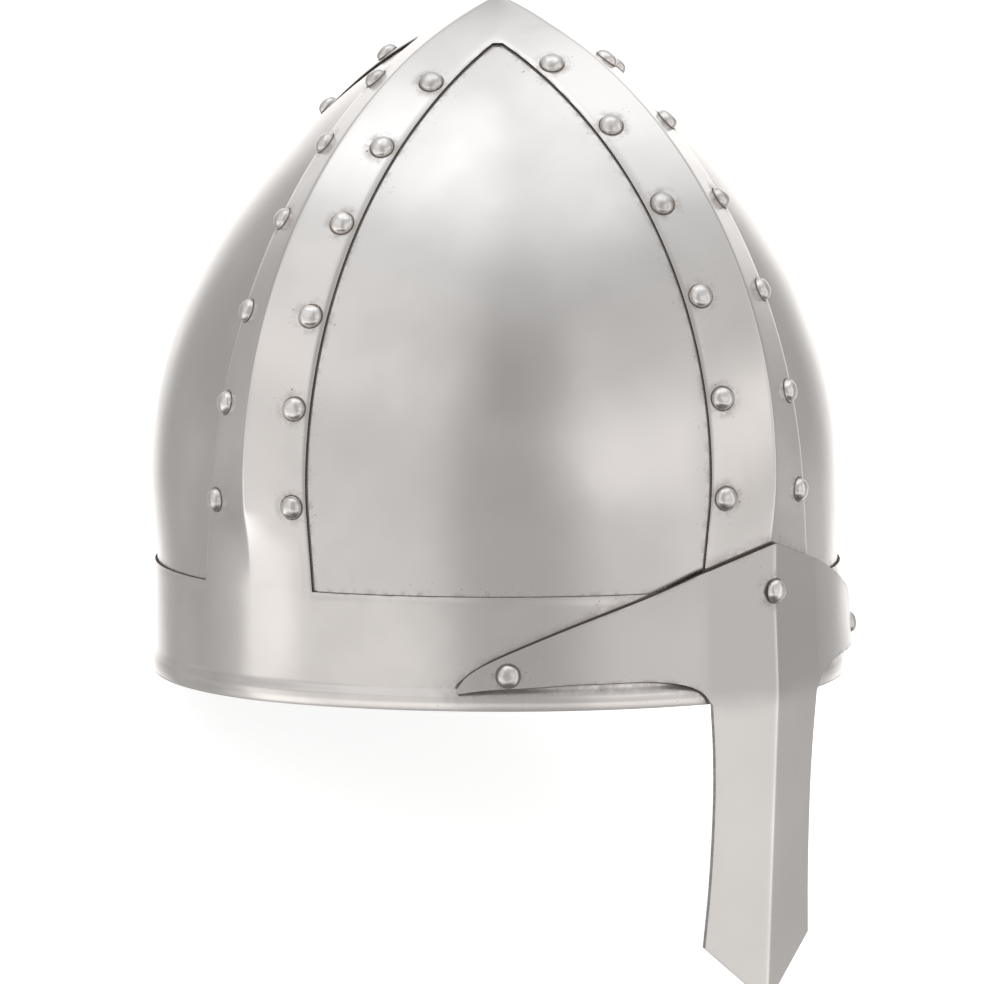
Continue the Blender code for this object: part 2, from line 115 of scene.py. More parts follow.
@lru_cache(maxsize=None)
def level(z, facing):
    """Front or back of the section at height z: axes, power, half band, ridge, lean, rounding."""
    mean = (FORE + WIDTH / 2) / 2
    rise = HEIGHT - SPRING
    radius = (rise ** 2 + mean ** 2) / (2 * mean)
    climb = min(max(z - SPRING, 0.0), rise)
    girth = max(math.sqrt(radius ** 2 - climb ** 2) - radius + mean, 0.0) / mean
    fade = min(max((FLARE_TOP - z) / (FLARE_TOP - FLARE_FLAT), 0.0), 1.0)
    flare = FLARE * fade * fade * (3 - 2 * fade) - BEAD_IN * max(1 - z / BEAD_TOP, 0.0) ** 1.5
    share = min(max((z - BROW) / (HEIGHT - BROW), 0.0), 1.0)
    wide = WIDTH / 2 * girth + flare
    long = FORE * girth + flare
    power = smooth_through(SECTIONS, share, "up", "front")
    meet = (long ** -power + wide ** -power) ** (-1 / power) if girth > 1e-6 else 0.0
    half = min(smooth_through(SECTIONS, share, "up", "width") * BAND_WIDTH / 2, meet)
    if facing == BACK:
        long = FORE * girth * smooth_through(SECTIONS, share, "up", "aft") + flare
        power = smooth_through(SECTIONS, share, "up", "back")
    ridge = smooth_through(SECTIONS, share, "up", "ridge") * RIDGE_RAISE
    rounded = min(max((SPRING - z) / (SPRING - BROW), 0.0), 1.0)
    return Level(long, wide, power, half, ridge, -APEX_LEAN * share, rounded)


def bowl_depth(row, off, reach, span):
    """Depth of the bowl's curve, off from the middle of the band that stands on reach."""
    return reach * max(1 - (off / span) ** row.power, 0.0) ** (1 / row.power)


def band_depth(row, off, reach, span, crease=0.0):
    """The same for a band's face: flat from ridge to edge, but rounded on the brow band."""
    soft = min(CREASE_SOFT, row.half / 4)
    run = (math.hypot(off, soft) - soft) / (math.hypot(row.half, soft) - soft)
    ridge = reach + max(row.ridge, crease)
    flat = ridge + (bowl_depth(row, row.half, reach, span) - ridge) * run
    rounded = 0.0 if crease else row.rounded
    return flat + (bowl_depth(row, off, reach, span) - flat) * rounded


def end_skin(x, z, facing):
    """Point of the outer skin of the front or back, x to the side at height z."""
    row = level(z, facing)
    if abs(x) < row.half:
        crease = FRONT_CREASE if facing == FRONT else 0.0
        depth = band_depth(row, abs(x), row.long, row.wide, crease)
    else:
        depth = bowl_depth(row, abs(x), row.long, row.wide)
    return Vector((x, facing * depth + row.lean, z))


def side_skin(y, z, side):
    """Point of the outer skin of a side band, y along it from its ridge at height z."""
    row = level(z, FRONT if y < 0 else BACK)
    return Vector((side * band_depth(row, abs(y), row.wide, row.long), y + row.lean, z))


def window_width(z):
    """Width of a window at height z, edge to edge."""
    row = level(z, FRONT)
    return math.hypot(
        bowl_depth(row, row.half, row.wide, row.long) - row.half,
        bowl_depth(row, row.half, row.long, row.wide) - row.half)


def height_where(narrower, low, high):
    """Height between low and high from which a window is narrower than this."""
    for _ in range(40):
        middle = (low + high) / 2
        low, high = (low, middle) if window_width(middle) < narrower else (middle, high)
    return low


def skin_rows(start, stop, spacing):
    """Heights from start to stop whose level sections lie evenly far apart on the wall."""
    found = [start]
    while found[-1] < stop:
        z = found[-1]
        fall = math.hypot(level(z + 1e-4, FRONT).long - level(z, FRONT).long, 1e-4) / 1e-4
        found.append(z + spacing / fall)
    return [start + (z - start) * (stop - start) / (found[-1] - start) for z in found]


SAME_POINT = 2e-6         # points closer than this are one


def mesh_from(rows, keep=lambda r, c: True, closed=False):
    """Open skin through rows of (point, {mark: value}) that run counter-clockwise and up."""
    mesh = bmesh.new()
    layers = {name: mesh.verts.layers.float.new(name) for name in rows[0][0][1]}
    grid = []
    for row in rows:
        grid.append([])
        for point, values in row:
            vertex = mesh.verts.new(point)
            for name, value in values.items():
                vertex[layers[name]] = value
            grid[-1].append(vertex)
    columns = len(rows[0])
    for r in range(len(rows) - 1):
        for c in range(columns if closed else columns - 1):
            if keep(r, c):
                d = (c + 1) % columns
                face = mesh.faces.new((grid[r][c], grid[r][d], grid[r + 1][d], grid[r + 1][c]))
                face.smooth = True
    bmesh.ops.delete(mesh, geom=[v for v in mesh.verts if not v.link_faces], context="VERTS")
    bmesh.ops.remove_doubles(mesh, verts=mesh.verts, dist=SAME_POINT)
    bmesh.ops.dissolve_degenerate(mesh, edges=mesh.edges, dist=SAME_POINT)
    mesh.normal_update()
    return mesh


# The helmet lies tipped back on the nasal's tip and the back of the rim. Its lowest points
# give its height there, and the middle of its length the place along Y.
RIM_SHIFT = -0.0007       # the rim's middle along Y
RIM_HEIGHT = 0.0421       # and above what the helmet lies on
REST_LENGTH = FORE * (1 + SECTIONS[0].aft) + 2 * FLARE + FRONT_CREASE + NASAL_SEAT - BAR_LEAN
TILT = -math.atan2(NASAL_DROP, REST_LENGTH)
STAND = Matrix.Translation((0.0, RIM_SHIFT, RIM_HEIGHT)) @ Matrix.Rotation(TILT, 4, "X")


def add_piece(name, mesh, materials, slot, *nodes):
    """Piece of the helmet laid on the stand, in place of the CAD nodes."""
    data = bpy.data.meshes.new(name)
    mesh.transform(STAND)
    mesh.to_mesh(data)
    mesh.free()
    for material in materials:
        data.materials.append(material)
    piece = bpy.data.objects.new(name, data)
    bpy.context.scene.collection.objects.link(piece)
    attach(piece, "root")
    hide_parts(*nodes)
    return piece


INWARD, OUTWARD = -1, 1
WORN_CORNER = math.radians(50)      # a corner that turns more than this is worn


def thicken(piece, sheet, offset, bevel, thinned=""):
    """Sheet thickness inward or outward, with dark cut edges and a worn bright bevel along them.

    thinned names the group of points whose weight thins the sheet.
    """
    solid = piece.modifiers.new("sheet", "SOLIDIFY")
    solid.thickness = sheet
    solid.vertex_group = thinned
    solid.offset = offset
    solid.use_even_offset = True
    solid.use_quality_normals = True
    solid.material_offset_rim = 1
    worn = piece.modifiers.new("worn edge", "BEVEL")
    worn.width = bevel
    worn.segments = 3
    worn.limit_method = "ANGLE"
    worn.angle_limit = WORN_CORNER
    worn.material = 0
    worn.harden_normals = True


class Wire:
    """Shader value. Sums on it add Math nodes."""

    def __init__(self, finish, socket):
        self.finish = finish
        self.socket = socket

    def sum(self, operation, *values):
        """Result of an operation on values, of which any may be a number."""
        return self.finish.node("Math", {"operation": operation}, dict(enumerate(values)))

    def __add__(self, other):
        return self.sum("ADD", self, other)

    __radd__ = __add__

    def __sub__(self, other):
        return self.sum("SUBTRACT", self, other)

    def __rsub__(self, other):
        return self.sum("SUBTRACT", other, self)

    def __mul__(self, other):
        return self.sum("MULTIPLY", self, other)

    __rmul__ = __mul__

    def or_more(self, other):
        """The larger of the two values."""
        return self.sum("MAXIMUM", self, other)

    def ramp(self, low, high, start=0.0, end=1.0):
        """Smooth step of the value from start at low to end at high."""
        return self.finish.node(
            "MapRange", {"interpolation_type": "SMOOTHSTEP"},
            {"Value": self, "From Min": low, "From Max": high, "To Min": start, "To Max": end})


class Finish:
    """Material, or other node tree, that is being put together."""

    def __init__(self, owner):
        owner.use_nodes = True
        self.tree = owner.node_tree
        self.tree.nodes.clear()

    def node(self, kind, settings=None, inputs=None, output=0):
        """Node of a kind with its settings and its sockets' values or links, as one output."""
        made = self.tree.nodes.new("ShaderNode" + kind)
        for name, value in (settings or {}).items():
            setattr(made, name, value)
        for name, value in (inputs or {}).items():
            if isinstance(value, Wire):
                self.tree.links.new(value.socket, made.inputs[name])
            else:
                made.inputs[name].default_value = value
        return Wire(self, made.outputs[output]) if made.outputs else None

    def mark(self, name):
        """Value that the mesh carries, such as the distance to the nearest rivet in mm."""
        return self.node("Attribute", {"attribute_name": name}, output="Fac")

    def noise(self, scale, detail=2.0, stretch=(1.0, 1.0, 1.0), rough=0.5):
        """Noise through the helmet's own space, scale in features a metre."""
        place = self.node("TexCoord", output="Object")
        place = self.node("Mapping", None, {"Vector": place, "Scale": stretch})
        inputs = {"Vector": place, "Scale": scale, "Detail": detail, "Roughness": rough}
        return self.node("TexNoise", None, inputs, output="Fac")

    def specks(self, scale, size):
        """Small round specks, one in a cell of 1 / scale metres at most, of this share of a cell."""
        place = self.node("TexCoord", output="Object")
        near = self.node("TexVoronoi", None, {"Vector": place, "Scale": scale, "Randomness": 1.0})
        return near.ramp(size * 0.5, size, 1.0, 0.0)

    def mix(self, factor, first, second):
        """Colour between two colours."""
        settings = {"data_type": "RGBA"}
        inputs = {0: factor, 6: first, 7: second}
        return self.node("Mix", settings, inputs, output=2)


# Colour of dried polish, which on the frame also paints shadow along the nasal.
DRIED_POLISH_AND_SHADE = (0.095, 0.070, 0.056, 1.0)
WAVE_HEIGHT = 0.00034     # soft waves that hammering left in the sheet
SCRATCH_HEIGHT = 0.0000015


def worn_steel(name, bright, dull, roughness, grime_and_shade, darker=None, shade=None):
    """Hand-polished mild steel: soft planishing waves, fine scratches, dried polish, painted shade.

    The function after roughness gives, on this finish, where dried polish and painted shadow
    darken the piece, and darker one where painted shade darkens the steel, in the colour shade.
    """
    material = bpy.data.materials.new(name)
    finish = Finish(material)
    cloud = finish.noise(22, 3.0).ramp(0.35, 0.68)
    stain = finish.noise(9, 4.0, rough=0.62).ramp(0.48, 0.70)
    waves = finish.noise(26, 1.5)
    brushed = finish.noise(420, 3.0, (1.0, 1.0, 0.10), 0.6)
    # Darkening by dried polish, and on the frame also by painted shadow along the nasal.
    darkening = grime_and_shade(finish)
    colour = finish.mix(cloud * 0.55 + stain * 0.35, bright, dull)
    # Painted shade: where darker gives it, the colour turns towards shade.
    if darker:
        colour = finish.mix(darker(finish), colour, shade)
    colour = finish.mix(darkening, colour, DRIED_POLISH_AND_SHADE)
    rough = cloud * 0.06 + brushed * 0.05 + darkening * 0.35 + roughness
    height = waves * WAVE_HEIGHT + brushed * SCRATCH_HEIGHT
    bump = finish.node("Bump", None, {"Strength": 1.0, "Distance": 1.0, "Height": height})
    shader = finish.node("BsdfPrincipled", None, {
        "Base Color": colour, "Metallic": 1.0 - darkening * 0.75, "Roughness": rough, "Normal": bump})
    finish.node("OutputMaterial", None, {"Surface": shader})
    return material


def cut_edge(name):
    """Cut edge of a sheet, brown with old polish and rust."""
    material = bpy.data.materials.new(name)
    finish = Finish(material)
    patch = finish.noise(700, 2.0).ramp(0.3, 0.7)
    colour = finish.mix(patch, (0.030, 0.022, 0.017, 1.0), (0.085, 0.062, 0.048, 1.0))
    shader = finish.node("BsdfPrincipled", None, {
        "Base Color": colour, "Metallic": 0.35, "Roughness": 0.55 + patch * 0.2})
    finish.node("OutputMaterial", None, {"Surface": shader})
    return material


# Rivet lines are punched before the bands are fitted: six holes a column, as shares of the
# way from brow band to apex, on the side bands and on the end bands.
Row = namedtuple("Row", "side front")
ROWS = (
    Row(0.146, 0.159),
    Row(0.316, 0.331),
    Row(0.474, 0.505),
    Row(0.630, 0.660),
    Row(0.756, 0.790),
    Row(0.862, 0.891),
)
RIVET_EDGE = 0.0045       # from a rivet's middle to its band's edge


def facing_out(skin, across, z):
    """Point of a skin, and the direction that it faces there."""
    step = 0.0005
    point = skin(across, z)
    along = skin(across + step, z) - skin(across - step, z)
    normal = along.cross(skin(across, z + step) - skin(across, z - step)).normalized()
    return point, normal if normal.dot(Vector((point.x, point.y, 0.0))) > 0 else -normal


def band_rivets():
    """Name, point and direction of each rivet through the bands and the plates."""
    placed = []
    for k, row in enumerate(ROWS, start=1):
        z = BROW + (HEIGHT - BROW) * row.front
        for facing, end in ((FRONT, "front"), (BACK, "back")):
            for side, hand in ((LEFT, "left"), (RIGHT, "right")):
                x = side * (level(z, facing).half - RIVET_EDGE)
                place = facing_out(lambda u, v: end_skin(u, v, facing), x, z)
                placed.append((f"rivet_{end}_{hand}_{k}", *place))
        z = BROW + (HEIGHT - BROW) * row.side
        for side, hand in ((LEFT, "left"), (RIGHT, "right")):
            for facing, end in ((FRONT, "fore"), (BACK, "aft")):
                y = facing * (level(z, facing).half - RIVET_EDGE)
                place = facing_out(lambda u, v: side_skin(u, v, side), y, z)
                placed.append((f"rivet_{hand}_{end}_{k}", *place))
    return placed


BAND_RIVETS = band_rivets()
hole_tree = kdtree.KDTree(len(BAND_RIVETS))
for k, (_, point, _) in enumerate(BAND_RIVETS):
    hole_tree.insert(point, k)
hole_tree.balance()


def marks(point, edge):
    """Distances in mm that the finish follows: to the joint, a rivet, the rim."""
    return {"edge": edge * 1000, "rivet": hole_tree.find(point)[2] * 1000, "rim": point.z * 1000}


def crowded(count, pull):
    """Shares from 0 to 1 in count steps, which pull makes closer at both ends."""
    return [k / count - pull * math.sin(2 * math.pi * k / count) for k in range(count + 1)]


BAND_SHARES = crowded(18, 0.127)            # columns of the mesh from ridge to edge
ARC_SHARES = crowded(36, 0.11)[1:-1]        # and across a window
ON_BAND = 0.99999         # share up to which a point still counts as the band's
APEX_CLEAR = 0.05         # the apex is far from any joint


def bowl_point(row, turn, z, facing):
    """Point of the bowl's curve, turn being 0 at the end's ridge and a right angle at the side's."""
    x = row.wide * math.sin(turn) ** (2 / row.power)
    y = row.long * math.cos(turn) ** (2 / row.power)
    return Vector((x, facing * y + row.lean, z))


def turn_at(row, off, span):
    """Turn of the bowl's point that is off from a ridge plane, measured from that ridge."""
    return math.asin(min((off / span) ** (row.power / 2), 1.0))


def frame_quarter(z, facing):
    """Half an end band, a window's width and half a side band, at height z, on the left."""
    row = level(z, facing)
    if z >= HEIGHT - 1e-6:
        apex = Vector((0.0, -APEX_LEAN, HEIGHT))
        return [(apex, marks(apex, APEX_CLEAR))] * (2 * len(BAND_SHARES) + len(ARC_SHARES))
    first = turn_at(row, row.half, row.wide)
    last = math.pi / 2 - turn_at(row, row.half, row.long)
    below, above = max(BROW - z, 0.0), max(z - window_cut, 0.0)
    quarter = []
    for share in BAND_SHARES:
        point = end_skin(row.half * min(share, ON_BAND), z, facing)
        quarter.append((point, marks(point, math.hypot(row.half * (1 - share), below, above))))
    for share in ARC_SHARES:
        point = bowl_point(row, first + (last - first) * share, z, facing)
        quarter.append((point, marks(point, below + above)))
    for share in reversed(BAND_SHARES):
        point = side_skin(facing * row.half * min(share, ON_BAND), z, LEFT)
        quarter.append((point, marks(point, math.hypot(row.half * (1 - share), below, above))))
    return quarter


def across(row):
    """The same points on the wearer's right."""
    return [(Vector((-point.x, point.y, point.z)), values) for point, values in row]


# Rows of the mesh: close together on the rolled rim, then evenly up the wall.
BROW_STEP = 0.0015
WALL_STEP = 0.0013
CROWN_TOP = HEIGHT - 0.0004
window_cut = height_where(TIP_GAP, BROW, HEIGHT)
brow_rows = [0.0, 0.0005, 0.0010, 0.0015, 0.0020, 0.0024, 0.0027, 0.0031, 0.0036]
brow_rows += [0.0040, 0.0046, 0.0052, 0.0058, 0.0064, 0.0070, 0.0078]
brow_rows = brow_rows[:-1] + skin_rows(brow_rows[-1], BROW, BROW_STEP)
window_rows = skin_rows(BROW, window_cut, WALL_STEP)[1:]
crown_rows = skin_rows(window_cut, CROWN_TOP, WALL_STEP)[1:] + [HEIGHT]
rows = []
for z in brow_rows + window_rows + crown_rows:
    front, back = frame_quarter(z, FRONT), frame_quarter(z, BACK)
    rows.append(front[:-1] + back[:0:-1] + across(back)[:-1] + across(front)[:0:-1])
lap = len(front) - 1


def frame_keeps(r, c):
    """Whether the frame has steel here: all but its four windows."""
    place = c % lap
    beside = place < len(BAND_SHARES) - 1 or place >= lap - len(BAND_SHARES) + 1
    return beside or r < len(brow_rows) - 1 or r >= len(brow_rows) + len(window_rows) - 1


def frame_grime_and_shade(finish):
    """Painted shadow and dried polish by the nasal, a darker rim foot, rivet rings, small pits."""
    edge, rivet, rim = finish.mark("edge"), finish.mark("rivet"), finish.mark("rim")
    nasal = finish.mark("nasal")
    patch = finish.noise(260, 4.0, rough=0.65)
    pits = finish.specks(560, 0.24) * patch.ramp(0.50, 0.66)
    near = rivet.ramp(4.0, 10.0, 0.9, 0.0).or_more(rim.ramp(1.0, 5.0, 0.5, 0.0))
    near = near.or_more(edge.ramp(0.3, 3.0, 0.4, 0.0)).or_more(nasal.ramp(1.0, 7.0, 0.9, 0.0))
    halo = rivet.ramp(3.6, 7.0, 0.40, 0.0) * patch.ramp(0.38, 0.62)
    ring = rivet.ramp(3.7, 4.3, 0.9, 0.0).or_more(halo)
    seam = edge.ramp(0.0, 0.7, 0.35, 0.0) * patch.ramp(0.40, 0.65)
    # Along the nasal's outline: joint is a thin painted contact shadow, and haze a wider painted
    # shade mixed with dried polish.
    haze = nasal.ramp(0.5, 5.0, 0.32, 0.0) * patch.ramp(0.30, 0.62)
    joint = nasal.ramp(0.35, 0.85, 0.95, 0.0).or_more(haze)
    # foot is darker along the rim's bottom edge.
    foot = rim.ramp(0.0, 1.0, 0.5, 0.0)
    return ring.or_more(seam).or_more(joint).or_more(foot).or_more(pits * near)


frame_steel = worn_steel(
    "frame steel", (0.715, 0.680, 0.660, 1.0), (0.570, 0.540, 0.522, 1.0), 0.15, frame_grime_and_shade)
edge_steel = cut_edge("cut edge")
mesh = mesh_from(rows, frame_keeps, closed=True)

# The windows' edges are filed down from outside, so the sheet is thinner along them.
edge, weights = mesh.verts.layers.float["edge"], mesh.verts.layers.deform.verify()
filed = [EDGE_SINK * max(1 - v[edge] / 1000 / EDGE_ROLL, 0.0) ** 2 for v in mesh.verts]
for vertex, depth, out in [(v, d, v.normal.copy()) for v, d in zip(mesh.verts, filed)]:
    vertex.co -= out * depth
    vertex[weights][0] = 1 - depth / FRAME_SHEET
frame_piece = add_piece("frame_look", mesh, (frame_steel, edge_steel), "frame_steel", "frame")
frame_piece.vertex_groups.new(name="filed")
thicken(frame_piece, FRAME_SHEET, INWARD, FRAME_BEVEL, "filed")

# Plates: four curved triangles of 1.2 mm steel behind the windows, their edges tucked behind
# the bands and the brow band. They are planished smooth and polished less than the bands.
PLATE_SHEET = 0.0012
PLATE_BEVEL = 0.0002
PLATE_GAP = 0.0001
PLATE_STOP = 0.007        # a plate's edge stops this far from the ridge
PLATE_TUCK = 0.012        # how far a plate runs down behind the brow band
PLATE_TIP = 0.003         # and how far up past the window's tip
PLATE_BELLY = 0.0021      # how far its middle is hammered out past the bowl's curve
PLATE_STEP = 0.0022       # spacing of the mesh's rows
PLATE_SHARES = crowded(56, 0.09)


def plate_row(z, facing):
    """Points across a plate on the wearer's left at height z, with the distance to its joint."""
    row = level(z, facing)
    stop = min(PLATE_STOP, row.half * 0.9)
    first = turn_at(row, stop, row.wide)
    last = math.pi / 2 - turn_at(row, stop, row.long)
    window_first = turn_at(row, row.half, row.wide)
    window_last = math.pi / 2 - turn_at(row, row.half, row.long)
    climb = min(max((z - BROW) / (tip - BROW), 0.0), 1.0)
    found = []
    for share in PLATE_SHARES:
        turn = first + (last - first) * share
        point = bowl_point(row, turn, z, facing)
        window_share = (turn - window_first) / max(window_last - window_first, 1e-6)
        if 0.0 < window_share < 1.0:
            out = Vector((point.x, point.y, 0.0)).normalized()
            swell = math.sin(math.pi * window_share) ** 2
            point += out * PLATE_BELLY * math.sin(math.pi * climb) * swell
        edge = min(point.x - row.half, abs(point.y - row.lean) - row.half, z - BROW)
        found.append((point, marks(point, edge)))
    return found


def plate_grime(finish):
    """Grime in the joint round the plate and pits beside it."""
    edge = finish.mark("edge")
    patch = finish.noise(240, 4.0, rough=0.65)
    pits = finish.specks(560, 0.24)
    seam = edge.ramp(0.0, 0.35, 0.9, 0.0) * patch.ramp(0.15, 0.50, 0.45, 1.0)
    haze = edge.ramp(0.2, 2.5, 0.30, 0.0) * patch.ramp(0.42, 0.62)
    pitted = pits * edge.ramp(1.0, 6.0, 0.7, 0.0) * patch.ramp(0.50, 0.64)
    return seam.or_more(haze).or_more(pitted)


plate_steel = worn_steel(
    "plate steel", (0.680, 0.648, 0.632, 1.0), (0.560, 0.532, 0.517, 1.0), 0.16, plate_grime)
tip = height_where(1e-5, BROW, HEIGHT)
plate_heights = skin_rows(BROW - PLATE_TUCK, tip + PLATE_TIP, PLATE_STEP)
for facing, end in ((FRONT, "front"), (BACK, "back")):
    for side, hand in ((LEFT, "left"), (RIGHT, "right")):
        rows = [plate_row(z, facing) for z in plate_heights]
        rows = [across(row) if side == RIGHT else row for row in rows]
        rows = [row[::-1] if side != -facing else row for row in rows]
        mesh = mesh_from(rows)
        for vertex, move in [(v, v.normal * (FRAME_SHEET + PLATE_GAP)) for v in mesh.verts]:
            vertex.co -= move
        piece = add_piece(f"plate_{end}_{hand}_look", mesh, (plate_steel, edge_steel),
                          "plate_steel", f"plate_{end}_{hand}")
        thicken(piece, PLATE_SHEET, INWARD, PLATE_BEVEL)

# Nasal: one 1.6 mm plate cut to a nose bar and two swept wings, creased down the middle and
# bent round the brow band, which it lies on. Three rivets hold it.
NASAL_SHEET = 0.0016
NASAL_BEVEL = 0.0006
NASAL_EASE = 0.034        # height over which it spreads what the rim's flare does in one step
NASAL_TOP = 0.0474        # height of the upper edge at the crease
BAR_WIDTH = 0.0446
TIP_WIDTH = 0.0040
WING_SPAN = WIDTH * 0.792     # straight across, tip to tip
WING_TIP = 0.0106         # height of a wing's tip
WING_LOW = 0.0083         # height of its lower edge
# A wing's stations run from the bar's edge, 0, to its tip, 1; low is the lower edge as a
# share of WING_LOW, high the upper edge as a share of the fall from NASAL_TOP to WING_TIP.
Wing = namedtuple("Wing", "out low high")
WING = (
    Wing(0.000, 0.00, 0.182),
    Wing(0.056, 0.49, 0.212),
    Wing(0.150, 0.81, 0.274),
    Wing(0.300, 0.99, 0.375),
    Wing(0.480, 1.00, 0.498),
    Wing(0.625, 0.98, 0.609),
    Wing(0.775, 0.89, 0.745),
    Wing(0.905, 0.81, 0.889),
    Wing(0.970, 0.71, 1.000),
    Wing(1.000, 0.65, 1.110),
)
# The bar's stations run from the rim, 0, to where its point starts, with its width.
Bar = namedtuple("Bar", "down width")
BAR = (
    Bar(0.000, 1.00),
    Bar(0.155, 0.94),
    Bar(0.340, 0.91),
    Bar(0.600, 0.93),
    Bar(0.815, 0.99),
)
HALF_BAR = BAR_WIDTH / 2
WING_REACH = WING_SPAN / 2 - HALF_BAR


def wing_edges(x):
    """Heights of the lower and upper edge of a wing, x from the crease."""
    if x < HALF_BAR:
        high = NASAL_TOP + (WING_TIP - NASAL_TOP) * WING[0].high * x / HALF_BAR
        return 0.0, high
    out = min((x - HALF_BAR) / WING_REACH, 1.0)
    low = smooth_through(WING, out, "out", "low") * WING_LOW
    return low, NASAL_TOP + (WING_TIP - NASAL_TOP) * smooth_through(WING, out, "out", "high")


# A wing's rivet sits out from the crease, as a share of half the span, and up the wing.
WingRivet = namedtuple("WingRivet", "hand side out up")
WING_RIVETS = (
    WingRivet("right", RIGHT, 0.885, 0.38),
    WingRivet("left", LEFT, 0.845, 0.52),
)
CENTRE_RIVET = 0.0329     # height of the rivet on the crease


def nasal_rivets():
    """Name, point and direction of the three rivets through the nasal."""
    point = end_skin(0.0, CENTRE_RIVET, FRONT)
    placed = [("rivet_nasal_centre", point, Vector((0.0, FRONT, 0.0)))]
    for rivet in WING_RIVETS:
        x = WING_SPAN / 2 * rivet.out
        low, high = wing_edges(x)
        z = low + (high - low) * rivet.up
        place = facing_out(lambda u, v: end_skin(u, v, FRONT), rivet.side * x, z)
        placed.append((f"rivet_nasal_{rivet.hand}", *place))
    return placed


NASAL_RIVETS = nasal_rivets()


def with_rivets(row):
    """Points of a row with what the finish follows, in mm: edge, nearest rivet and height."""
    found = []
    for point, values in row:
        nearest = min((point - place).length for _, place, _ in NASAL_RIVETS)
        values = {"edge": values["edge"] * 1000, "rivet": nearest * 1000, "high": point.z * 1000}
        found.append((point, values))
    return found


def nasal_skin(x, z):
    """Point of the front's outer skin, but without the rolled rim's sudden flare."""
    point = end_skin(x, z, FRONT)
    flared = end_skin(x, FLARE_TOP, FRONT) if z < FLARE_TOP else point
    ease = max(1 - z / NASAL_EASE, 0.0)
    out = Vector((point.x, point.y, 0.0)).normalized()
    return Vector((flared.x, flared.y, z)) + out * FLARE * ease * ease * (3 - 2 * ease)


BAR_COLUMNS = [HALF_BAR * (k / 16) ** 1.6 for k in range(17)]
WING_COLUMNS = [HALF_BAR + WING_REACH * (k / 80) for k in range(1, 81)]
WING_ROWS = crowded(18, 0.05)


def bar_row(down):
    """Points from the crease to the bar's edge, down being 0 at the rim and 1 at the tip."""
    if down <= BAR[-1].down:
        half = HALF_BAR * smooth_through(BAR, down, "down", "width")
    else:
        run = (down - BAR[-1].down) / (1 - BAR[-1].down)
        half = HALF_BAR * BAR[-1].width * (1 - run) + TIP_WIDTH / 2 * run
    found = []
    for column in BAR_COLUMNS:
        x = half * column / HALF_BAR
        point = nasal_skin(x, 0.0) + Vector((0.0, BAR_LEAN * down, -NASAL_DROP * down))
        found.append((point, {"edge": half - x}))
    return found


rows = []
bar_downs = [1 - 0.185 * k / 16 for k in range(16)]
bar_downs += [BAR[-1].down * (1 - k / 48) for k in range(48)]
for down in bar_downs:
    row = bar_row(down)
    rows.append(row + [row[-1]] * len(WING_COLUMNS))
wing_start = len(rows)
for share in WING_ROWS:
    row = []
    for x in BAR_COLUMNS + WING_COLUMNS:
        low, high = wing_edges(x)
        point = nasal_skin(x, low + (high - low) * share)
        nearest = 1 - share if x < HALF_BAR else min(share, 1 - share)
        row.append((point, {"edge": (high - low) * nearest}))
    rows.append(row)
rows = [with_rivets(across(row)[:0:-1] + row) for row in rows]
middle = len(rows[0]) // 2


def nasal_keeps(r, c):
    """Whether the nasal has steel here: the wings start at the rim."""
    return r >= wing_start or abs(c + 0.5 - middle) < len(BAR_COLUMNS) - 1


def nasal_grime(finish):
    """Grime round the nasal's rivets, and pits along its edges."""
    edge, rivet = finish.mark("edge"), finish.mark("rivet")
    patch = finish.noise(250, 4.0, rough=0.65)
    pits = finish.specks(560, 0.24)
    halo = rivet.ramp(3.6, 8.0, 0.45, 0.0) * patch.ramp(0.38, 0.62)
    ring = rivet.ramp(3.7, 4.3, 0.9, 0.0).or_more(halo)
    near = rivet.ramp(4.0, 14.0, 0.9, 0.0).or_more(edge.ramp(0.4, 3.0, 0.4, 0.0))
    on_band = finish.mark("high").ramp(0.0, 4.0)
    seam = edge.ramp(0.3, 1.0, 0.30, 0.0) * patch.ramp(0.42, 0.60) * on_band
    return ring.or_more(seam).or_more(pits * near * patch.ramp(0.48, 0.62))


def above_rim(finish):
    """Where the nasal lies on the brow band, its colour painted darker as painted shade."""
    return (finish.mark("high") + finish.noise(60, 2.0) * 8.0).ramp(-1.0, 10.0)


# The nasal's steel is painted darker where it lies on the brow band: painted shade.
nasal_steel = worn_steel(
    "nasal steel", (0.770, 0.737, 0.715, 1.0), (0.660, 0.630, 0.610, 1.0), 0.20, nasal_grime,
    above_rim, (0.565, 0.539, 0.524, 1.0))
mesh = mesh_from(rows, nasal_keeps)
for vertex, move in [(v, v.normal * NASAL_SEAT) for v in mesh.verts]:
    vertex.co += move

# The bar's edges are filed bright, and the wings' are dark with what has dried in their joint.
nasal_edge = bpy.data.materials.new("nasal edge")
finish = Finish(nasal_edge)
dark = finish.mark("high").ramp(-1.0, 3.0)
patch = finish.noise(700, 2.0).ramp(0.3, 0.7)
filed = finish.mix(patch, (0.50, 0.48, 0.46, 1.0), (0.36, 0.34, 0.32, 1.0))
shader = finish.node("BsdfPrincipled", None, {
    "Base Color": finish.mix(dark, filed, (0.060, 0.045, 0.035, 1.0)),
    "Metallic": 1.0 - dark * 0.6, "Roughness": 0.35 + dark * 0.25})
finish.node("OutputMaterial", None, {"Surface": shader})
piece = add_piece("nasal_look", mesh, (nasal_steel, nasal_edge), "nasal_steel", "nasal")
thicken(piece, NASAL_SHEET, OUTWARD, NASAL_BEVEL)

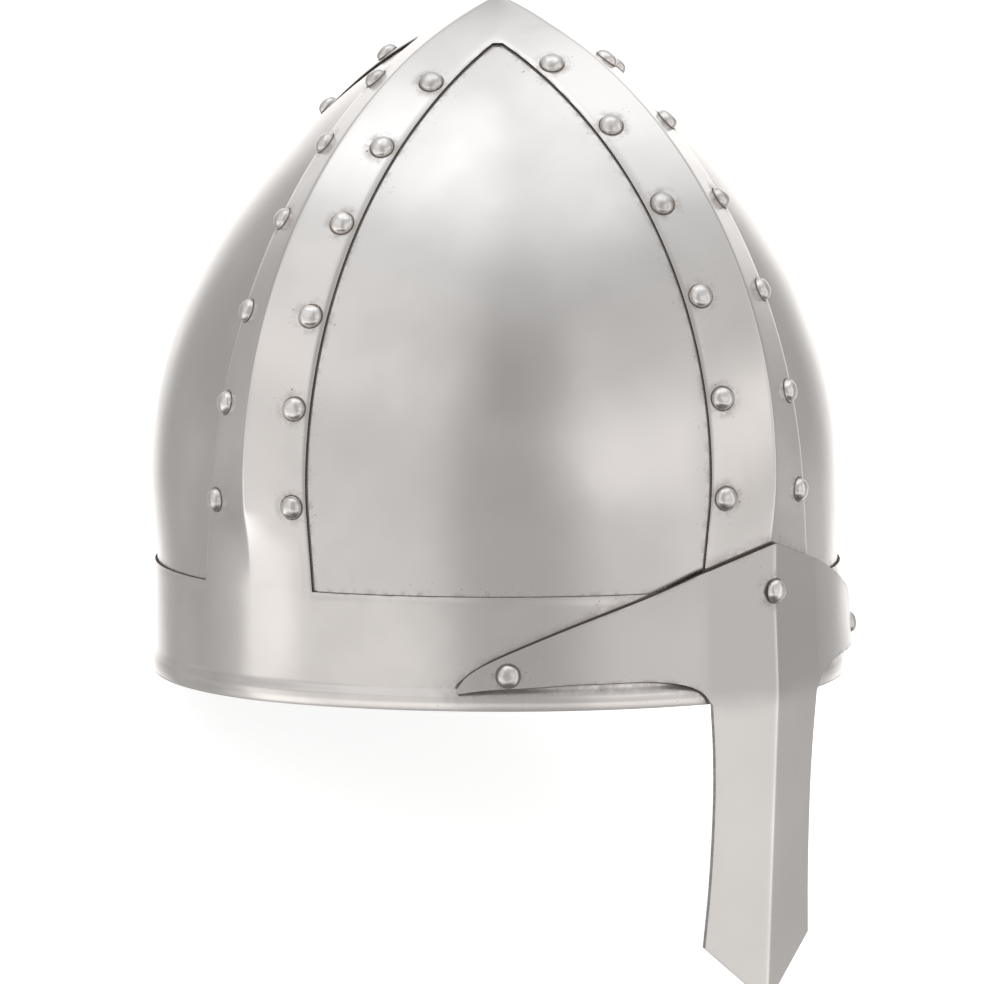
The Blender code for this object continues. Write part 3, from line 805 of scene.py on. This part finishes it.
# On the brow band, the finish paints shadow, with some dried polish, along the nasal's
# outline: its distance in mm.
FAR_AWAY = 99.0           # for the back, where there is no nasal
outline = frame_piece.data.attributes.new("nasal", "FLOAT", "POINT")
for vertex, place in zip(frame_piece.data.vertices, outline.data):
    point = STAND.inverted() @ vertex.co
    low, high = wing_edges(abs(point.x))
    past = max(low - point.z, point.z - high, abs(point.x) - WING_SPAN / 2)
    place.value = past * 1000 if point.y < 0 else FAR_AWAY

# Rivets: soft steel, domed by hand with a hammer and a set, so no two heads are quite alike.
# Old polish has dried dark round the foot of each. Inside, the tails are spread flat.
HEAD_RADIUS = 0.0035
HEAD_HEIGHT = 0.0027
FOOT_SPREAD = 0.0002      # dried polish past the head
SHANK_RADIUS = 0.0015
TAIL_RADIUS = 0.0027
TAIL_HEIGHT = 0.0008
TAIL_PLAY = 0.0001        # between the inner sheet and the tail
DENT_DEPTH = 0.00022
DENT_SCALE = 420          # features a metre
RIVET_SIDES = 40


def rivet_outline(grip):
    """Radius, height and dirt from the top of the head, down its side and along the shank."""
    outline = []
    for turn in [math.radians(90 * k / 12) for k in range(12)]:
        radius = HEAD_RADIUS * math.sin(turn) ** 0.94
        height = HEAD_HEIGHT * math.cos(turn) ** 0.85
        outline.append((radius, height, 0.0))
    outline += [
        (HEAD_RADIUS, 0.00022, 0.55),
        (HEAD_RADIUS + FOOT_SPREAD * 0.25, 0.00012, 1.0),
        (HEAD_RADIUS + FOOT_SPREAD, 0.00003, 1.0),
        (HEAD_RADIUS, -0.00002, 1.0),
        (SHANK_RADIUS, -0.00002, 1.0),
        (SHANK_RADIUS, -grip, 1.0),
        (TAIL_RADIUS, -grip, 1.0),
        (TAIL_RADIUS, -grip - TAIL_HEIGHT * 0.5, 0.4),
        (TAIL_RADIUS * 0.7, -grip - TAIL_HEIGHT * 0.95, 0.2),
        (0.0, -grip - TAIL_HEIGHT, 0.1),
    ]
    return outline


def rivet_mesh(grip, seed):
    """Rivet turned from its outline, with dents of its own."""
    draw = random.Random(seed)
    shift = Vector([draw.uniform(-9, 9) for _ in range(3)])
    squash = Matrix.Diagonal((draw.uniform(0.96, 1.03), draw.uniform(0.96, 1.03), 1.0))
    lean = (draw.uniform(-0.05, 0.05), draw.uniform(-0.05, 0.05))
    rows = []
    for radius, height, darkening in reversed(rivet_outline(grip)):
        row = []
        for k in range(RIVET_SIDES):
            turn = 2 * math.pi * k / RIVET_SIDES
            point = Vector((radius * math.cos(turn), radius * math.sin(turn), height))
            if height > 0.0003:
                dent = noise.noise(point * DENT_SCALE + shift) * DENT_DEPTH
                point = squash @ point * (1 + dent / HEAD_RADIUS)
                point.z *= 1 + lean[0] * point.x / HEAD_RADIUS + lean[1] * point.y / HEAD_RADIUS
            row.append((point, {"darkening": darkening}))
        rows.append(row)
    return mesh_from(rows, closed=True)


def rivet_grime(finish):
    """Grime where the turned outline says that it has dried."""
    return finish.mark("darkening") * finish.noise(600, 2.0).ramp(0.2, 0.5, 0.6, 1.0)


rivet_steel = worn_steel(
    "rivet steel", (0.730, 0.698, 0.680, 1.0), (0.560, 0.532, 0.514, 1.0), 0.20, rivet_grime)
BAND_GRIP = FRAME_SHEET + PLATE_GAP + PLATE_SHEET + TAIL_PLAY
NASAL_FACE = NASAL_SEAT + NASAL_SHEET
NASAL_GRIP = NASAL_SHEET + NASAL_SEAT + FRAME_SHEET + TAIL_PLAY
placed = [(name, point, out, BAND_GRIP) for name, point, out in BAND_RIVETS]
placed += [(name, point + out * NASAL_FACE, out, NASAL_GRIP) for name, point, out in NASAL_RIVETS]
for seed, (name, point, out, grip) in enumerate(placed):
    mesh = rivet_mesh(grip, seed)
    turn = out.to_track_quat("Z", "Y").to_matrix().to_4x4()
    mesh.transform(Matrix.Translation(point) @ turn)
    add_piece(name + "_look", mesh, (rivet_steel,), "rivet_steel", name)

# Floor: a pale smooth sweep under the helmet. It isn't part of the object.
FLOOR_SIZE = 12.0
mesh = bmesh.new()
bmesh.ops.create_grid(mesh, x_segments=1, y_segments=1, size=FLOOR_SIZE / 2)
data = bpy.data.meshes.new("floor")
mesh.to_mesh(data)
mesh.free()
floor = bpy.data.objects.new("floor", data)
bpy.context.scene.collection.objects.link(floor)
floor_finish = bpy.data.materials.new("floor")
finish = Finish(floor_finish)
shader = finish.node("BsdfPrincipled", None, {
    "Base Color": finish.mix(finish.noise(3.0), (0.60, 0.60, 0.60, 1.0), (0.64, 0.64, 0.63, 1.0)),
    "Roughness": 0.9, "Emission Color": (1.0, 1.0, 1.0, 1.0), "Emission Strength": 0.86})
finish.node("OutputMaterial", None, {"Surface": shader})
data.materials.append(floor_finish)
floor.visible_glossy = False

# Camera: a long lens, 45 degrees round to the wearer's right of the face and 5.5 degrees above
# the rim's plane. It is placed on the upright helmet and laid down with it by STAND.
VIEW_TURN = math.radians(-45.365)
VIEW_RISE = math.radians(5.545)
VIEW_ROLL = math.radians(-0.558)
VIEW_DISTANCE = 3.3
VIEW_CENTRE = 0.110       # height on the upright helmet of the point that the view is set by
SCALE = 3235              # pixels a metre at that point
FRAME_PIXELS = 984
POINT_ACROSS, POINT_DOWN = 489.8, 312.6     # where that point lies in the picture, in pixels
towards_eye = Vector((math.sin(VIEW_TURN), -math.cos(VIEW_TURN), 0.0))
back = towards_eye * math.cos(VIEW_RISE) + Vector((0.0, 0.0, math.sin(VIEW_RISE)))
level_right = Vector((math.cos(VIEW_TURN), math.sin(VIEW_TURN), 0.0))
level_up = back.cross(level_right)
right = level_right * math.cos(VIEW_ROLL) + level_up * math.sin(VIEW_ROLL)
up = level_up * math.cos(VIEW_ROLL) - level_right * math.sin(VIEW_ROLL)
point = Vector((0.0, 0.0, VIEW_CENTRE))
eye = point + back * VIEW_DISTANCE
aim = point + right * (FRAME_PIXELS / 2 - POINT_ACROSS) / SCALE
aim -= up * (FRAME_PIXELS / 2 - POINT_DOWN) / SCALE
look = (eye - aim).normalized()
right = up.cross(look).normalized()
turn = Matrix((right, look.cross(right), look)).transposed().to_4x4()
lens = bpy.data.cameras.new("camera")
lens.sensor_width = 36.0
lens.lens = SCALE * VIEW_DISTANCE / FRAME_PIXELS * lens.sensor_width
lens.clip_end = 50.0
camera = bpy.data.objects.new("camera", lens)
bpy.context.scene.collection.objects.link(camera)
camera.matrix_world = STAND @ Matrix.Translation(eye) @ turn
bpy.context.scene.camera = camera

# Light: a white studio, set round the upright helmet as the camera sees it. Soft boxes stand
# left and right of the camera, the gap between them leaves the dark stripe down the middle
# plate, and the room falls off at both sides before the white sweep behind the helmet.
world = bpy.data.worlds.new("studio")
bpy.context.scene.world = world
room = Finish(world)
direction = room.node("TexCoord", output="Generated")


def along(way):
    """How far the direction looked in goes along a way of the upright helmet."""
    ways = {0: direction, 1: STAND.to_3x3() @ way}
    return room.node("VectorMath", {"operation": "DOT_PRODUCT"}, ways, output="Value")


# Turn from the camera towards the picture's right, how far a zone reaches to each side and
# fades after that, its lowest and highest elevation, in degrees, and the light it adds.
Zone = namedtuple("Zone", "name turn reach fade low high glow")
ZONES = (
    Zone("sweep behind", 180, 8, 27, -95, 30, 0.70),
    Zone("left fall-off", -133, 18, 28, -95, 30, -0.24),
    Zone("right fall-off", 122, 14, 24, -6, 30, -0.29),
    Zone("right fall-off, low", 111, 13, 14, -95, -6, -0.22),
    Zone("right strip light", 83, 2, 10, -95, 30, 0.50),
    Zone("left strip light", -82, 5, 12, -95, 0, 0.45),
    Zone("left soft box", -48, 14, 24, 14, 80, 0.22),
    Zone("left soft box, low", -44, 14, 12, -95, 8, 0.18),
    Zone("right soft box", 34, 10, 20, -5, 20, 0.30),
    Zone("gap at the camera", -4, 8, 17, -95, 46, -0.19),
    Zone("camera", -5, 9, 12, 16, 40, -0.06),
    Zone("floor in front", -20, 70, 40, -36, -24, 0.50),
    Zone("crown light left", -75, 30, 50, 58, 95, 0.24),
    Zone("crown light right", 100, 40, 60, 58, 95, 0.20),
)
ROOM_GLOW = 0.78          # of the walls all round
CEILING_GLOW = 0.5        # more than that straight above
LOW_BLUR, HIGH_BLUR = 8, 10     # degrees over which a zone's lower and upper end fade


def sine(degrees):
    """Sine of an angle in degrees."""
    return math.sin(math.radians(degrees))


def cosine(degrees):
    """Cosine of an angle in degrees."""
    return math.cos(math.radians(degrees))


sideways = along(level_right)
forward = along(towards_eye)
height = along(Vector((0.0, 0.0, 1.0)))
outward = sideways.sum("SQRT", sideways * sideways + forward * forward).or_more(0.001)
glow = ROOM_GLOW + height.ramp(sine(48), sine(85), 0.0, CEILING_GLOW)
for zone in ZONES:
    facing = forward * cosine(zone.turn) + sideways * sine(zone.turn)
    facing = facing.sum("DIVIDE", facing, outward)
    light = facing.ramp(cosine(zone.reach + zone.fade), cosine(zone.reach))
    if zone.low > -90:
        light = light * height.ramp(sine(zone.low - LOW_BLUR), sine(zone.low + LOW_BLUR))
    if zone.high < 90:
        top = sine(min(zone.high + HIGH_BLUR, 90))
        light = light * height.ramp(sine(zone.high - HIGH_BLUR), top, 1.0, 0.0)
    glow = glow + light * zone.glow

# Soft unevenness of the room, the dark below, and the white sweep that the camera sees.
things = room.node("TexNoise", None, {"Vector": direction, "Scale": 3.0, "Detail": 2.0}, output="Fac")
glow = glow + (things - 0.5) * 0.35
glow = (glow * height.ramp(-0.90, -0.55, 0.25, 1.0)).or_more(0.05)
seen = room.node("LightPath", output="Is Camera Ray")
strength = glow * (1 - seen) + seen
tint = room.mix(height.ramp(0.4, 0.9), (1.0, 0.995, 0.985, 1.0), (0.955, 0.985, 1.0, 1.0))
sky = room.node("Background", None, {"Color": tint, "Strength": strength})
room.node("OutputWorld", None, {"Surface": sky})

# A weak lamp overhead, which doesn't show in reflections.
LAMP_PLACE = Vector((-0.3, -0.3, 1.6))
LAMP_AIM = Vector((0.0, 0.0, 0.1))
lamp = bpy.data.lights.new("overhead box", "AREA")
lamp.shape = "RECTANGLE"
lamp.size, lamp.size_y = 0.9, 0.9
lamp.energy = 5.0
holder = bpy.data.objects.new("overhead box", lamp)
bpy.context.scene.collection.objects.link(holder)
holder.visible_glossy = False
holder.location = LAMP_PLACE
holder.rotation_euler = (LAMP_PLACE - LAMP_AIM).to_track_quat("Z", "Y").to_euler()
bpy.context.scene.view_settings.view_transform = "Standard"
